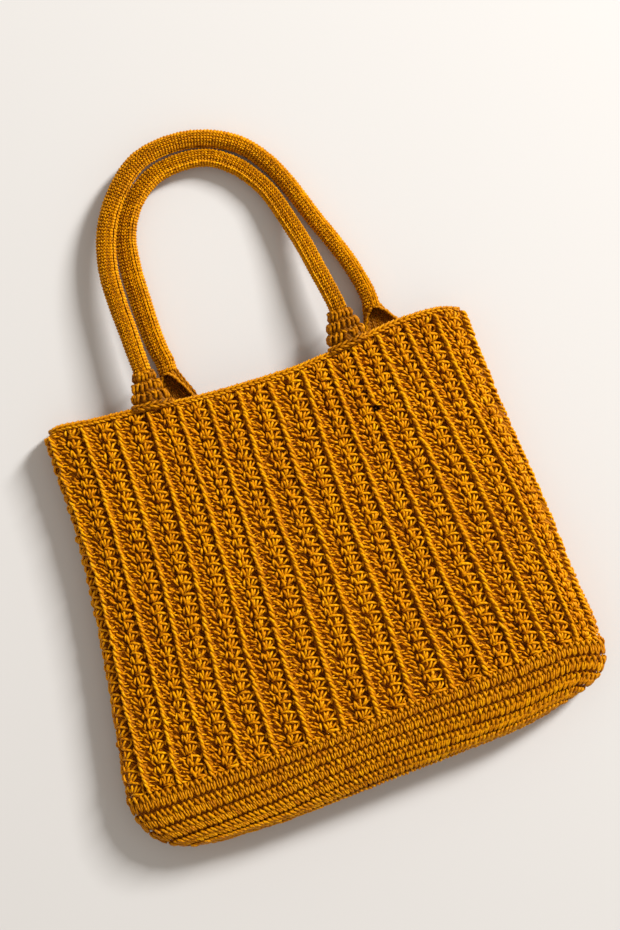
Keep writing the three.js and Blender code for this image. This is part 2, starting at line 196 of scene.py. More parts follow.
# Three shares grow towards the edge: a power to the right, a ramp down times one to the right, and a bell at the
# corner times a ramp down.
def drawIn(grid):
    x, y = grid[:, :, 0], grid[:, :, 1]
    toRight = np.clip(x / drawn["sideReach"], 0, 1) ** drawn["sideCurve"]
    toBottom = np.clip((drawn["bottomHeight"] - y) / drawn["bottomHeight"], 0, 1)
    toBottom = toBottom * np.clip((x - drawn["bottomFrom"]) / drawn["bottomOver"], 0, 1)
    toCorner = np.exp(-(((x - drawn["cornerAt"]) / drawn["cornerReach"]) ** 2))
    toCorner = toCorner * np.clip((drawn["cornerHeight"] - y) / drawn["cornerOver"], 0, 1)
    grid[:, :, 0] -= drawn["side"] * toRight
    grid[:, :, 1] += drawn["bottom"] * toBottom + drawn["corner"] * toCorner
    return grid


# normal = step round * step up, as a cross product of unit length
def normalsOf(grid):
    around = np.roll(grid, -1, axis=1) - np.roll(grid, 1, axis=1)
    upward = np.gradient(grid, axis=0)
    normal = np.cross(around, upward)
    return normal / np.maximum(np.linalg.norm(normal, axis=2, keepdims=True), 1e-9)


# A surface is a grid of points, rows from bottom to top and columns round the bag, with its normals. The wall is
# the body's section at each level, between the line of its foot and the rim's line.
def wallSurface(inset, levels=81, columns=900):
    shares = np.arange(columns) / columns
    rows = []
    for level in np.linspace(0, 1, levels):
        rise = level * (1 + ribs["tallerLow"] * (1 - level))
        height = mix(body["bandHeight"], body["height"] - body["rimHeight"], rise)
        size = sizeAt(height, inset)
        x, z = section(size, shares)
        foot = body["bandHeight"] + liftAt(x) - turnDown(x, size["halfWidth"])
        y = mix(foot, rimTopAt(x) - body["rimDrop"], rise)
        rows.append(np.stack([x, y, z - hollowAt(x, y, z, size)], axis=1))
    grid = drawIn(np.array(rows))
    return grid, normalsOf(grid)


# The base from the middle of its underside (row 0) round the corner to the top of the band (last row). The corner
# is a quarter of a rounded oblong, and the bottom's rows close in on its middle line and stop just short of it.
bottom = dict(cornerSteps=33, flatSteps=9, reach=0.97)


def baseSurface(inset, levels=65, columns=900):
    shares = np.arange(columns) / columns
    size = sizeAt(body["bandHeight"], inset - body["bandRelief"])
    steps = []
    for turn in np.linspace(0, np.pi / 2, bottom["cornerSteps"]):
        drawnIn = 1 - max(0, np.cos(turn)) ** (2 / body["cornerCurve"])
        drop = max(0, np.sin(turn)) ** (2 / body["cornerCurve"])
        ring = dict(
            halfWidth=size["halfWidth"] - (body["cornerWidth"] - inset) * drawnIn,
            low=size["low"] + (body["edgeDepth"] - inset) * drawnIn,
            high=size["high"] - (body["edgeDepth"] - inset) * drawnIn,
            shift=size["shift"],
        )
        x, z = section(ring, shares)
        y = body["bandHeight"] - (body["bandHeight"] - inset) * drop + liftAt(x)
        y = y - turnDown(x, ring["halfWidth"]) * (1 - drop**3)
        steps.append(np.stack([x, y, z], axis=1))
    edge = steps[-1]
    middle = (edge[:, 2].min() + edge[:, 2].max()) / 2
    straight = np.abs(edge[:, 0]).max() - body["edgeDepth"]
    for share in np.linspace(0, bottom["reach"], bottom["flatSteps"])[1:]:
        x = mix(edge[:, 0], np.clip(edge[:, 0], -straight, straight), share)
        steps.append(np.stack([x, inset + liftAt(x), mix(edge[:, 2], middle, share)], axis=1))
    line = np.array(steps[::-1])
    step = np.linalg.norm(np.diff(line, axis=0), axis=2)
    along = np.concatenate([np.zeros((1, columns)), np.cumsum(step, axis=0)]) / step.sum(axis=0)
    levelsAt = np.linspace(0, 1, levels)
    grid = np.stack(
        [
            np.stack([np.interp(levelsAt, along[:, c], line[:, c, k]) for k in range(3)], axis=1)
            for c in range(columns)
        ],
        axis=1,
    )
    grid = drawIn(grid)
    grid[:, :, 2] = np.maximum(grid[:, :, 2], lowest["base"])
    return grid, normalsOf(grid)


# Points and normals of a surface at shares round it and levels from 0 to 1, between its grid's points
def sample(surface, share, level):
    rows, columns = surface[0].shape[:2]
    across = (share % 1) * columns
    up = np.clip(level, 0, 1) * (rows - 1)
    left = np.floor(across).astype(int)
    low = np.minimum(np.floor(up).astype(int), rows - 2)
    toRight, toHigh = (across - left)[..., None], (up - low)[..., None]
    left, right = left % columns, (left + 1) % columns
    found = []
    for grid in surface:
        lower = mix(grid[low, left], grid[low, right], toRight)
        upper = mix(grid[low + 1, left], grid[low + 1, right], toRight)
        found.append(mix(lower, upper, toHigh))
    return found


# Each curve runs through its control points, as a Catmull-Rom spline cut into equal steps of its own count.
def smooth(controls, count):
    n = controls.shape[1]
    t = np.linspace(0, n - 1, count)
    i = np.minimum(t.astype(int), n - 2)
    f = t - i
    weights = np.zeros((count, n))
    parts = [
        (-1, -0.5 * f + f**2 - 0.5 * f**3),
        (0, 1 - 2.5 * f**2 + 1.5 * f**3),
        (1, 0.5 * f + 2 * f**2 - 1.5 * f**3),
        (2, -0.5 * f**2 + 0.5 * f**3),
    ]
    for offset, weight in parts:
        np.add.at(weights, (np.arange(count), np.clip(i + offset, 0, n - 1)), weight)
    return np.einsum("kc,ncd->nkd", weights, controls)


# Yarn strands are round tubes swept along curves. A ring's point is centre + radius * (cos * sideways + sin * up).
# The uv map holds mm along the strand and the share round it.
def sweep(paths, normals, radii, sides, tone):
    n, count = paths.shape[:2]
    tangent = np.gradient(paths, axis=1)
    tangent /= np.maximum(np.linalg.norm(tangent, axis=2, keepdims=True), 1e-9)
    sideways = np.cross(tangent, normals)
    sideways /= np.maximum(np.linalg.norm(sideways, axis=2, keepdims=True), 1e-9)
    up = np.cross(sideways, tangent)
    angle = 2 * np.pi * np.arange(sides) / sides
    ring = (
        np.cos(angle)[None, None, :, None] * sideways[:, :, None]
        + np.sin(angle)[None, None, :, None] * up[:, :, None]
    )
    points = paths[:, :, None] + radii[:, :, None, None] * ring
    length = np.concatenate(
        [np.zeros((n, 1)), np.cumsum(np.linalg.norm(np.diff(paths, axis=1), axis=2), axis=1)], axis=1
    )
    index = np.arange(n * count * sides).reshape(n, count, sides)
    a, b = index[:, :-1], index[:, 1:]
    quads = np.stack([a, np.roll(a, -1, 2), np.roll(b, -1, 2), b], axis=-1).reshape(-1, 4)
    v = np.arange(sides + 1) / sides
    u = length[:, :, None] + 0 * v
    low, high = u[:, :-1], u[:, 1:]
    va, vb = v[:-1] + 0 * low[:, :, :-1], v[1:] + 0 * low[:, :, :-1]
    uv = np.stack(
        [
            np.stack([low[:, :, :-1], va], -1),
            np.stack([low[:, :, 1:], vb], -1),
            np.stack([high[:, :, 1:], vb], -1),
            np.stack([high[:, :, :-1], va], -1),
        ],
        axis=-2,
    ).reshape(-1, 2)
    caps = np.concatenate([index[:, 0, ::-1], index[:, -1, :]])
    return dict(
        points=points.reshape(-1, 3),
        quads=quads,
        caps=caps,
        uv=uv,
        tone=np.repeat(tone, count * sides),
    )


# A ground's uv map turns the yarn's twist into slanted strands about 1.8 mm apart: uv for each mm across and up.
groundTwist = [1.17, 0.161]


# A ground is the quads between a grid's rows, closed round its columns, with caps on the two ends where wanted.
def groundPart(grid, tone=0.5, capped=False):
    points = grid.reshape(-1, 3)
    index = np.arange(len(points)).reshape(grid.shape[:2])
    right = np.roll(index, -1, axis=1)
    quads = np.stack([index[:-1], right[:-1], right[1:], index[1:]], axis=-1).reshape(-1, 4)
    caps = np.stack([index[0, ::-1], index[-1]]) if capped else None
    uv = points[quads.ravel()][:, :2] * groundTwist
    return dict(points=points, quads=quads, caps=caps, uv=uv, tone=np.full(len(points), tone))


madeTriangles = {}


# One mesh from many parts: their points, faces and uv maps end to end, and a shade of its own for each strand
def makePiece(name, parts, material, replaced=()):
    points, sizes, loops, uvs, tones, start = [], [], [], [], [], 0
    for part in parts:
        points.append(part["points"])
        tones.append(part["tone"])
        loops.append((part["quads"] + start).ravel())
        sizes.append(np.full(len(part["quads"]), 4))
        uvs.append(part["uv"])
        if part["caps"] is not None:
            loops.append((part["caps"] + start).ravel())
            sizes.append(np.full(len(part["caps"]), part["caps"].shape[1]))
            uvs.append(np.zeros((part["caps"].size, 2)))
        start += len(part["points"])
    points = (np.concatenate(points) + origin) * 0.001
    loops, sizes = np.concatenate(loops), np.concatenate(sizes)
    mesh = bpy.data.meshes.new(name)
    mesh.vertices.add(len(points))
    mesh.vertices.foreach_set("co", points.astype(np.float32).ravel())
    mesh.loops.add(len(loops))
    mesh.loops.foreach_set("vertex_index", loops.astype(np.int32))
    mesh.polygons.add(len(sizes))
    mesh.polygons.foreach_set("loop_start", np.concatenate([[0], np.cumsum(sizes)[:-1]]).astype(np.int32))
    mesh.polygons.foreach_set("use_smooth", np.ones(len(sizes), dtype=bool))
    mesh.update(calc_edges=True)
    layer = mesh.uv_layers.new(name="yarn")
    layer.data.foreach_set("uv", np.concatenate(uvs).astype(np.float32).ravel())
    attribute = mesh.attributes.new("tone", "FLOAT", "POINT")
    attribute.data.foreach_set("value", np.concatenate(tones).astype(np.float32))
    mesh.materials.append(material)
    piece = bpy.data.objects.new(name, mesh)
    bpy.context.scene.collection.objects.link(piece)
    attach(piece, "root")
    if replaced:
        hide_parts(*replaced)
    madeTriangles[name] = int((sizes - 2).sum())
    print(name, madeTriangles[name], "triangles")


# Materials


# sRGB to linear light: a straight line near black and a power above it
def linear(hexColor):
    value = np.array([int(hexColor[i : i + 2], 16) for i in (1, 3, 5)]) / 255
    return (*np.where(value <= 0.04045, value / 12.92, ((value + 0.055) / 1.055) ** 2.4), 1.0)


# An input that is a socket, or a node's first output, is linked, and any other value is set.
def addNode(tree, kind, inputs=None, **settings):
    node = tree.nodes.new(kind)
    for key, value in settings.items():
        setattr(node, key, value)
    for key, value in (inputs or {}).items():
        if isinstance(value, bpy.types.Node):
            value = value.outputs[0]
        if isinstance(value, bpy.types.NodeSocket):
            tree.links.new(value, node.inputs[key])
        else:
            node.inputs[key].default_value = value
    return node


# Two-ply cotton, spun and dyed: mostly matt, with a low golden shine and a thin bloom of fibres
yarnLook = dict(
    deep="#A85800",
    middle="#D68800",
    pale="#ECA800",
    stops=(0.15, 0.52, 0.9),
    roughness=0.5,
    specular=0.27,
    specularTint="#FFE08A",
    sheen=0.12,
    sheenRoughness=0.45,
    sheenTint="#FFB420",
    plies=2.0,
    twistPitch=2.6,  # mm along a strand from one ply to the next
    twistDepth=0.2,  # mm
    fuzzPerMm=2.6,  # fibres of about 0.4 mm, coarser than real ones so that they show
    patchPerMm=0.024,  # the dye's shades change over about 40 mm
    bump=0.8,
    toneShare=0.55,
    patchShare=0.3,
    plyShare=0.18,
    fuzzShare=0.45,
)


# The ply's shade is the sine of the way across it, on a spiral of plies * share round + mm along / pitch. With the
# strand's own tone and the dye's patches it picks the colour, and with the fuzz it makes the bump.
def yarnMaterial(name, **changes):
    look = dict(yarnLook, **changes)
    material = bpy.data.materials.new(name)
    material.use_nodes = True
    tree = material.node_tree
    tree.nodes.clear()
    uv = addNode(tree, "ShaderNodeUVMap", uv_map="yarn")
    split = addNode(tree, "ShaderNodeSeparateXYZ", {0: uv})
    tone = addNode(tree, "ShaderNodeAttribute", attribute_name="tone").outputs["Fac"]
    place = addNode(tree, "ShaderNodeTexCoord").outputs["Object"]
    patchInputs = {"Vector": place, "Scale": 1000 * look["patchPerMm"], "Detail": 3.0}
    patch = addNode(tree, "ShaderNodeTexNoise", patchInputs).outputs["Fac"]
    fuzzInputs = {"Vector": place, "Scale": 1000 * look["fuzzPerMm"], "Detail": 2.0}
    fuzz = addNode(tree, "ShaderNodeTexNoise", fuzzInputs).outputs["Fac"]
    along = addNode(
        tree, "ShaderNodeMath", {0: split.outputs[0], 1: 1.0 / look["twistPitch"]}, operation="MULTIPLY"
    )
    around = addNode(tree, "ShaderNodeMath", {0: split.outputs[1], 1: look["plies"]}, operation="MULTIPLY")
    spiral = addNode(tree, "ShaderNodeMath", {0: around, 1: along}, operation="ADD")
    spiral = addNode(tree, "ShaderNodeMath", {0: spiral}, operation="FRACT")
    ply = addNode(tree, "ShaderNodeMath", {0: spiral, 1: 0.5}, operation="PINGPONG")
    ply = addNode(tree, "ShaderNodeMath", {0: ply, 1: np.pi}, operation="MULTIPLY")
    ply = addNode(tree, "ShaderNodeMath", {0: ply}, operation="SINE")
    shade = 0.0
    for part, share in ((tone, "toneShare"), (patch, "patchShare"), (ply, "plyShare")):
        shade = addNode(tree, "ShaderNodeMath", {0: part, 1: look[share], 2: shade}, operation="MULTIPLY_ADD")
    ramp = addNode(tree, "ShaderNodeValToRGB", {0: shade})
    ramp.color_ramp.elements.new(look["stops"][1])
    for stop, at, color in zip(ramp.color_ramp.elements, look["stops"], ("deep", "middle", "pale")):
        stop.position, stop.color = at, linear(look[color])
    height = addNode(tree, "ShaderNodeMath", {0: fuzz, 1: look["fuzzShare"], 2: ply}, operation="MULTIPLY_ADD")
    bumpInputs = {"Strength": look["bump"], "Distance": 0.001 * look["twistDepth"], "Height": height}
    shader = addNode(
        tree,
        "ShaderNodeBsdfPrincipled",
        {
            "Base Color": ramp,
            "Roughness": look["roughness"],
            "Specular IOR Level": look["specular"],
            "Specular Tint": linear(look["specularTint"]),
            "Sheen Weight": look["sheen"],
            "Sheen Roughness": look["sheenRoughness"],
            "Sheen Tint": linear(look["sheenTint"]),
            "Normal": addNode(tree, "ShaderNodeBump", bumpInputs),
        },
    )
    addNode(tree, "ShaderNodeOutputMaterial", {0: shader})
    return material


# worked in high relief: golden tops with amber sides
ribbedYarn = yarnMaterial("mustard_cotton_ribbed")
# a shade deeper than the ribbed yarn, browner in its hollows and less pale on its tops: painted shade, so that the
# band looks turned away from the light; the rim's edging is worked in it too
plainYarnPaintedShade = yarnMaterial("mustard_cotton_plain_painted_shade", deep="#9C5200", middle="#CA8000", pale="#E4A200")
# stretched round the tubes: bright legs over gaps whose deep brown is painted shade, and worn smooth, so with less
# bloom
tubeYarnWithGapShade = yarnMaterial("mustard_cotton_tube_with_gap_shade", deep="#662C00", middle="#D48600", pale="#FFB800", sheen=0.06)
# the yarn that lies under the stitches, in a deep brown that is painted shade, nearly black at the bottom of its
# range, with the slant of strands in it
groundYarnPaintedShade = yarnMaterial(
    "shaded_cotton_ground", deep="#1E0A00", middle="#985000", pale="#B86C00", sheen=0.0, twistDepth=0.9
)
# thick posts set tightly side by side: ochre tops and dark brown clefts, a step darker than the other yarn: painted
# shade on the feet and in their clefts
footYarnPaintedShade = yarnMaterial("mustard_cotton_foot_painted_shade", deep="#562400", middle="#B06A00", pale="#E69C00")
print("materials ready")

# Camera: straight above the bag, which lies turned to the left in the picture. Aim and height are in mm.
view = dict(lens=70, sensor=36, aim=(16.8, 230.3), height=1288, turn=-17.4)
camera = bpy.data.objects.new("camera", bpy.data.cameras.new("camera"))
camera.data.lens = view["lens"]
camera.data.sensor_width = view["sensor"]
camera.location = np.array([*(view["aim"] + origin[:2]), view["height"]]) * 0.001
camera.rotation_euler = (0, 0, np.radians(view["turn"]))
bpy.context.scene.collection.objects.link(camera)
bpy.context.scene.camera = camera
bpy.context.scene.view_settings.view_transform = "Standard"

# Surfaces

wall = wallSurface(wallInset)
base = baseSurface(baseInset)
print("surfaces ready")


# The ribs' lines: share round the bag of each rib, the first one again at the end, at even levels
strayLevels = 41
stray = np.zeros((ribs["count"] + 1, ribStray.shape[1]))
stray[: len(ribStray)] = ribStray
stray[-1] = stray[0]
stray = smooth(stray[:, :, None], strayLevels)[:, :, 0]
ribShares = (np.arange(ribs["count"] + 1)[:, None] + ribs["phase"] + stray) / ribs["count"]


# Share round the bag at a place between a rib and the next one: the two ribs' shares, mixed
def shareBetween(rib, across, level):
    at = np.clip(level, 0, 1) * (strayLevels - 1)
    low = np.minimum(at.astype(int), strayLevels - 2)
    left = mix(ribShares[rib, low], ribShares[rib, low + 1], at - low)
    right = mix(ribShares[rib + 1, low], ribShares[rib + 1, low + 1], at - low)
    return mix(left, right, across)


# Share round a surface whose stitches are all equally wide
def evenShare(count):
    return lambda column, across, level: (column + across) / count


# Strands narrow towards both ends, and no two have the same thickness, shade or bend.
strandLook = dict(ends=(0.72, 0.6), endReach=0.2, thicknessSpread=0.06, toneSpread=0.18, bendShare=0.5)


# Where a stitch's strand lies: across in stitch widths, up in rows from the row's foot, height in mm above the
# surface that carries it. What would reach into the floor is pressed flat on it.
def layStitches(surface, column, row, shareAt, rows, controls, jitter):
    controls = np.asarray(controls, dtype=float)
    n = len(column)
    wobble = random.normal(size=(n, 1, 3)) * np.array(jitter)
    bend = random.normal(size=(n, len(controls), 3)) * np.array(jitter) * strandLook["bendShare"]
    place = controls[None] + (wobble + bend)
    level = (row[:, None] + place[:, :, 1]) / rows
    share = shareAt(column[:, None], place[:, :, 0], level)
    points, normals = sample(surface, share, level)
    points = points + normals * place[:, :, 2:]
    points[:, :, 2] = np.maximum(points[:, :, 2], lowest["strand"])
    return points, normals


# One strand for each stitch, as tubes. A strand is its route, its radius in mm, and its counts of rings and sides.
def strandSet(surface, column, row, shareAt, rows, strand, jitter, coarse=False, shade=0.5):
    controls, radius, count, sides = strand
    points, normals = layStitches(surface, column, row, shareAt, rows, controls, jitter)
    if coarse:
        count, sides = max(3, count - 2), max(4, sides - 2)
    paths = smooth(points, count)
    up = smooth(normals, count)
    reach, (first, last) = strandLook["endReach"], strandLook["ends"]
    taper = np.interp(np.linspace(0, 1, count), [0, reach, 1 - reach, 1], [first, 1, 1, last])
    thickness = 1 + strandLook["thicknessSpread"] * random.normal(size=(len(column), 1))
    tone = np.clip(shade + strandLook["toneSpread"] * random.normal(size=len(column)), 0, 1)
    return sweep(paths, up, radius * taper[None] * thickness, sides, tone)


# One repeat of the ribbed crochet, between a rib and the next one: two plies over the rib, short ticks, strands
# that slant down to a hole, a post over it, a domed tuft with a drooping foot, and a bead in the groove. Routes
# are across in rib spacings, up in rows and mm above the wall's surface.
repeat = dict(
    ropeLeft=([(-0.052, 1.04, 2.8), (-0.026, 0.8, 4.8), (0.014, 0.5, 5.0), (0.046, 0.24, 2.9)], 0.93, 5, 6),
    ropeRight=([(-0.05, 0.54, 2.8), (-0.022, 0.3, 4.8), (0.018, 0.0, 5.0), (0.048, -0.26, 2.9)], 0.9, 5, 6),
    tickHigh=([(0.02, 0.92, 3.4), (0.085, 0.92, 3.1), (0.145, 0.96, 1.8)], 0.6, 3, 5),
    tickLow=([(0.03, 0.72, 3.6), (0.11, 0.64, 3.2), (0.2, 0.52, 1.8)], 0.68, 3, 5),
    fanSteep=([(0.255, 0.66, 1.6), (0.31, 0.4, 2.8), (0.375, 0.06, 1.5)], 0.76, 4, 6),
    fanSlant=([(0.14, 0.36, 1.9), (0.22, 0.14, 2.9), (0.31, -0.1, 1.6)], 0.78, 4, 6),
    fanLow=([(0.225, 1.0, 1.7), (0.295, 0.9, 2.7), (0.37, 0.76, 1.6)], 0.74, 4, 5),
    fanDeep=([(0.1, 0.14, 1.2), (0.18, -0.04, 1.9), (0.26, -0.18, 0.9)], 0.66, 3, 5),
    post=([(0.435, 0.98, 1.9), (0.418, 0.72, 3.5), (0.4, 0.42, 2.0)], 0.86, 4, 6),
    bead=([(0.89, 1.0, 1.2), (0.872, 0.78, 2.2), (0.85, 0.54, 1.0)], 0.8, 4, 5),
    tuftBody=([(0.5, 0.36, 1.2), (0.57, 0.44, 2.4), (0.65, 0.52, 2.4)], 1.3, 3, 6),
    tuftFirst=([(0.468, 1.02, 2.1), (0.515, 0.72, 4.2), (0.525, 0.28, 2.8)], 0.9, 4, 6),
    tuftSecond=([(0.592, 1.16, 1.8), (0.605, 0.88, 3.9), (0.565, 0.44, 3.2)], 0.8, 4, 5),
    tuftThird=([(0.735, 0.97, 1.8), (0.678, 0.66, 3.9), (0.595, 0.36, 3.2)], 0.86, 4, 6),
    tuftEdge=([(0.852, 0.8, 1.2), (0.782, 0.58, 2.8), (0.665, 0.34, 2.4)], 0.78, 4, 5),
    foot=([(0.49, 0.22, 1.7), (0.6, 0.26, 3.2), (0.74, 0.14, 3.4), (0.875, -0.1, 1.9)], 0.88, 5, 6),
)
# How far the strands stray in those three measures, and their shade, by the first word of their names. The shades
# are painted light: the ropes, which stand highest, are painted lighter as if in full light, and the low fans
# darker as if in shade.
stitchJitter, stitchShade = (0.016, 0.06, 0.22), 0.55
jitters = dict(fan=(0.026, 0.11, 0.3), tuft=(0.022, 0.085, 0.3))
shades = dict(rope=0.72, fan=0.4)
# The front reaches past both folds, in shares round the bag.
frontEnd, frontStart = 0.535, 0.965
# The dropped stitch: its place, and the pit that it leaves in the ground, in shares, levels and mm, with the
# painted shade that darkens the pit
dropped = dict(
    rib=10, row=27, up=0.4, shareReach=0.0034, levelReach=0.0095, depth=3.0, paintedPitShade=1.4,
    finerShares=(0.006, 8), finerLevels=(0.02, 9),
)
allRibs = np.repeat(np.arange(ribs["count"]), ribs["rows"])
allRows = np.tile(np.arange(ribs["rows"]), ribs["count"])


def repeatParts(names, wantFront):
    parts = []
    for name in names:
        across = np.mean([c[0] for c in repeat[name][0]])
        share = shareBetween(allRibs, across, allRows / ribs["rows"]) % 1
        chosen = ((share < frontEnd) | (share > frontStart)) == wantFront
        if name == "bead":
            chosen &= (allRibs != dropped["rib"] - 1) | (allRows != dropped["row"])
        if name.startswith("rope"):
            chosen &= (allRibs != dropped["rib"]) | (allRows != dropped["row"])
        kind = next((word for word in ("rope", "fan", "tuft") if name.startswith(word)), "")
        jitter, shade = jitters.get(kind, stitchJitter), shades.get(kind, stitchShade)
        rib, row = allRibs[chosen], allRows[chosen]
        parts.append(
            strandSet(wall, rib, row, shareBetween, ribs["rows"], repeat[name], jitter, not wantFront, shade)
        )
    return parts


# The lowest row's own strands: a foot that spreads over the band, and the rib's two ends
lowestRow = dict(
    spread=([(0.52, 0.03, 1.6), (0.7, 0.09, 3.2), (0.92, 0.2, 1.8)], 0.88, 5, 6),
    ribEnd=([(0.06, 0.2, 3.4), (0.13, 0.04, 2.8), (0.26, 0.03, 1.4)], 0.82, 4, 6),
    ribPost=([(-0.175, 0.62, 1.6), (-0.165, 0.3, 2.9), (-0.15, -0.02, 1.6)], 0.82, 4, 6),
)
ropeNames = ["ropeLeft", "ropeRight", "tickHigh", "tickLow"]
fanNames = ["fanSteep", "fanSlant", "fanLow", "fanDeep", "post", "bead"]
tuftNames = ["tuftBody", "tuftFirst", "tuftSecond", "tuftThird", "tuftEdge", "foot"]
backNames = ropeNames[:2] + fanNames[:2] + fanNames[4:] + tuftNames[1:]
makePiece("rib_ropes_front", repeatParts(ropeNames, True), ribbedYarn)
makePiece("fans_front", repeatParts(fanNames, True), ribbedYarn)
lowestRibs, lowestZero = np.arange(ribs["count"]), np.zeros(ribs["count"])
lowestParts = [
    strandSet(wall, lowestRibs, lowestZero, shareBetween, ribs["rows"], strand, stitchJitter)
    for strand in lowestRow.values()
]
makePiece("tufts_front", repeatParts(tuftNames, True) + lowestParts, ribbedYarn)
makePiece("stitches_back", repeatParts(backNames, False), ribbedYarn)

# The ground between the stitches is a closed wall. In rib spacings it has a flat-topped ridge under each rib, and
# swells and grooves at places between two ribs: height * exp(-(distance / reach)^2), to the power 4 for the ridge.
wallRelief = dict(
    columns=360,
    levels=44,
    innerLevels=8,
    ridge=(4.9, 0.085),
    swells=[(1.2, 0.22, 0.12), (2.1, 0.6, 0.12), (-1.6, 0.41, 0.06), (-0.6, 0.86, 0.07)],
    below=0.5,
    fullyLit=1.4,  # mm of relief
    leastLit=0.26,
    innerTone=0.6,
)


def wallGround():
    pitShare = shareBetween(np.array([dropped["rib"]]), 0.0, np.array([dropped["row"] / ribs["rows"]]))[0]
    pitLevel = (dropped["row"] + dropped["up"]) / ribs["rows"]
    # the grid has a few columns and rows more where the pit is
    (shareSpan, shareCount), (levelSpan, levelCount) = dropped["finerShares"], dropped["finerLevels"]
    shareLine = np.arange(wallRelief["columns"]) / wallRelief["columns"]
    shareLine = np.sort(np.append(shareLine, pitShare + np.linspace(-shareSpan, shareSpan, shareCount)))
    levelLine = np.linspace(0, 1, wallRelief["levels"])
    levelLine = np.sort(np.append(levelLine, pitLevel + np.linspace(-levelSpan, levelSpan, levelCount)))
    share, level = np.meshgrid(shareLine, levelLine)
    outer, normal = sample(wall, share, level)
    at = np.clip(level * (strayLevels - 1), 0, strayLevels - 1).astype(int)
    lines = ribShares[:, at]
    rib = np.maximum(np.sum(lines <= share[None], axis=0) - 1, 0)
    left = np.take_along_axis(lines, rib[None], 0)[0]
    right = np.take_along_axis(lines, np.minimum(rib + 1, ribs["count"])[None], 0)[0]
    beforeFirst = (share - lines[0]) / (lines[1] - lines[0]) + 1
    away = np.where(share < lines[0], beforeFirst, (share - left) / np.maximum(right - left, 1e-6)) % 1
    height, reach = wallRelief["ridge"]
    relief = height * np.exp(-((np.minimum(away, 1 - away) / reach) ** 4))
    for height, middle, reach in wallRelief["swells"]:
        relief = relief + height * np.exp(-(((away - middle) / reach) ** 2))
    pit = ((share - pitShare) / dropped["shareReach"]) ** 4 + ((level - pitLevel) / dropped["levelReach"]) ** 4
    pit = np.exp(-pit)
    relief = relief * (1 - pit) - dropped["depth"] * pit
    outer = outer + normal * (relief - wallRelief["below"])[..., None]
    outer[:, :, 2] = np.maximum(outer[:, :, 2], lowest["ground"])
    inner, _ = sample(
        wallSurface(body["wall"] + wallInset), *np.meshgrid(shareLine, np.linspace(1, 0, wallRelief["innerLevels"]))
    )
    part = groundPart(np.concatenate([outer, inner, outer[:1]]))
    # Painted shade: the ground's tone grows with its relief up to fullyLit, so its grooves are darker, down to
    # leastLit, and the pit is painted darker still.
    lit = np.clip(relief / wallRelief["fullyLit"], wallRelief["leastLit"], 1) - dropped["paintedPitShade"] * pit
    part["tone"] = np.concatenate([lit.ravel(), np.full(inner[..., 0].size, wallRelief["innerTone"]), lit[0]])
    return part


makePiece("wall_ground", [wallGround()], groundYarnPaintedShade, replaced=["ribbed_wall"])

# The band and the underside: rows of short stitches, each a slanted knot with an arm, a loop below it and a strand
# between it and the next one
# The band's strands get a lower shade than the ribs' strands: painted shade, like the band's yarn.
band = dict(
    rows=6, stitches=176, slant=0.37, jitter=(0.06, 0.025, 0.16), shade=0.42, frontEnd=0.54, frontStart=0.96,
    columns=200, levels=49, innerLevels=8, relief=2.1, roundness=0.4, below=0.8, middleRows=2, middleBelow=1.5,
)
loopRoute = [(0.3, 0.62, 1.7), (0.24, 0.36, 2.4), (0.44, 0.12, 2.1), (0.7, 0.34, 2.4), (0.68, 0.64, 1.6)]
bandStitch = dict(
    knot=([(-0.06, 0.99, 1.6), (0.16, 0.86, 2.8), (0.36, 0.58, 2.1)], 1.02, 4, 6),
    arm=([(0.74, 0.93, 1.0), (0.52, 0.84, 2.1), (0.3, 0.78, 2.2)], 0.74, 3, 5),
    loop=(loopRoute, 0.82, 7, 5),
    between=([(0.88, 0.78, 1.4), (0.87, 0.5, 2.2), (0.9, 0.22, 1.4)], 0.74, 3, 5),
)


# Each row starts a slant's share of a stitch further on than the row below it.
def bandParts(wantFront):
    row = np.tile(np.arange(band["rows"]), band["stitches"])
    column = np.repeat(np.arange(band["stitches"]), band["rows"]) + band["slant"] * row
    share = column / band["stitches"] % 1
    chosen = ((share < band["frontEnd"]) | (share > band["frontStart"])) == wantFront
    return [
        strandSet(
            base, column[chosen], row[chosen], evenShare(band["stitches"]), band["rows"], strand, band["jitter"],
            not wantFront, band["shade"],
        )
        for strand in bandStitch.values()
    ]


makePiece("band_stitches_front", bandParts(True), plainYarnPaintedShade)
makePiece("band_stitches_back", bandParts(False), plainYarnPaintedShade)


# A closed skin that swells under each row, as a low power of |sin|, and sinks towards the bottom's middle
def baseGround():
    shareLine = np.arange(band["columns"]) / band["columns"]
    share, level = np.meshgrid(shareLine, np.linspace(0, 1, band["levels"]))
    outer, normal = sample(base, share, level)
    swell = np.abs(np.sin(np.pi * level * band["rows"])) ** band["roundness"]
    sunk = band["middleBelow"] * np.clip(band["middleRows"] - level * band["rows"], 0, 1)
    outer = outer + normal * (swell * band["relief"] - band["below"] - sunk)[..., None]
    outer[:, :, 2] = np.maximum(outer[:, :, 2], lowest["ground"])
    inner, _ = sample(
        baseSurface(body["wall"] + baseInset), *np.meshgrid(shareLine, np.linspace(1, 0, band["innerLevels"]))
    )
    return groundPart(np.concatenate([outer, inner]), capped=True)


makePiece("base_ground", [baseGround()], groundYarnPaintedShade, replaced=["base"])

# The rim's edging: a closed tube along the top of the wall, with its surface as turns round its section

rim = dict(
    stitches=152, yarnRadius=0.78, thinRadius=0.702, wide=2.2, tall=1.15, below=3.0, inset=0.4,
    tuckedIn=3.0, tuckReach=150, tuckPower=5, sectionSteps=33, columns=900, jitter=(0.05, 0.004, 0.1),
)


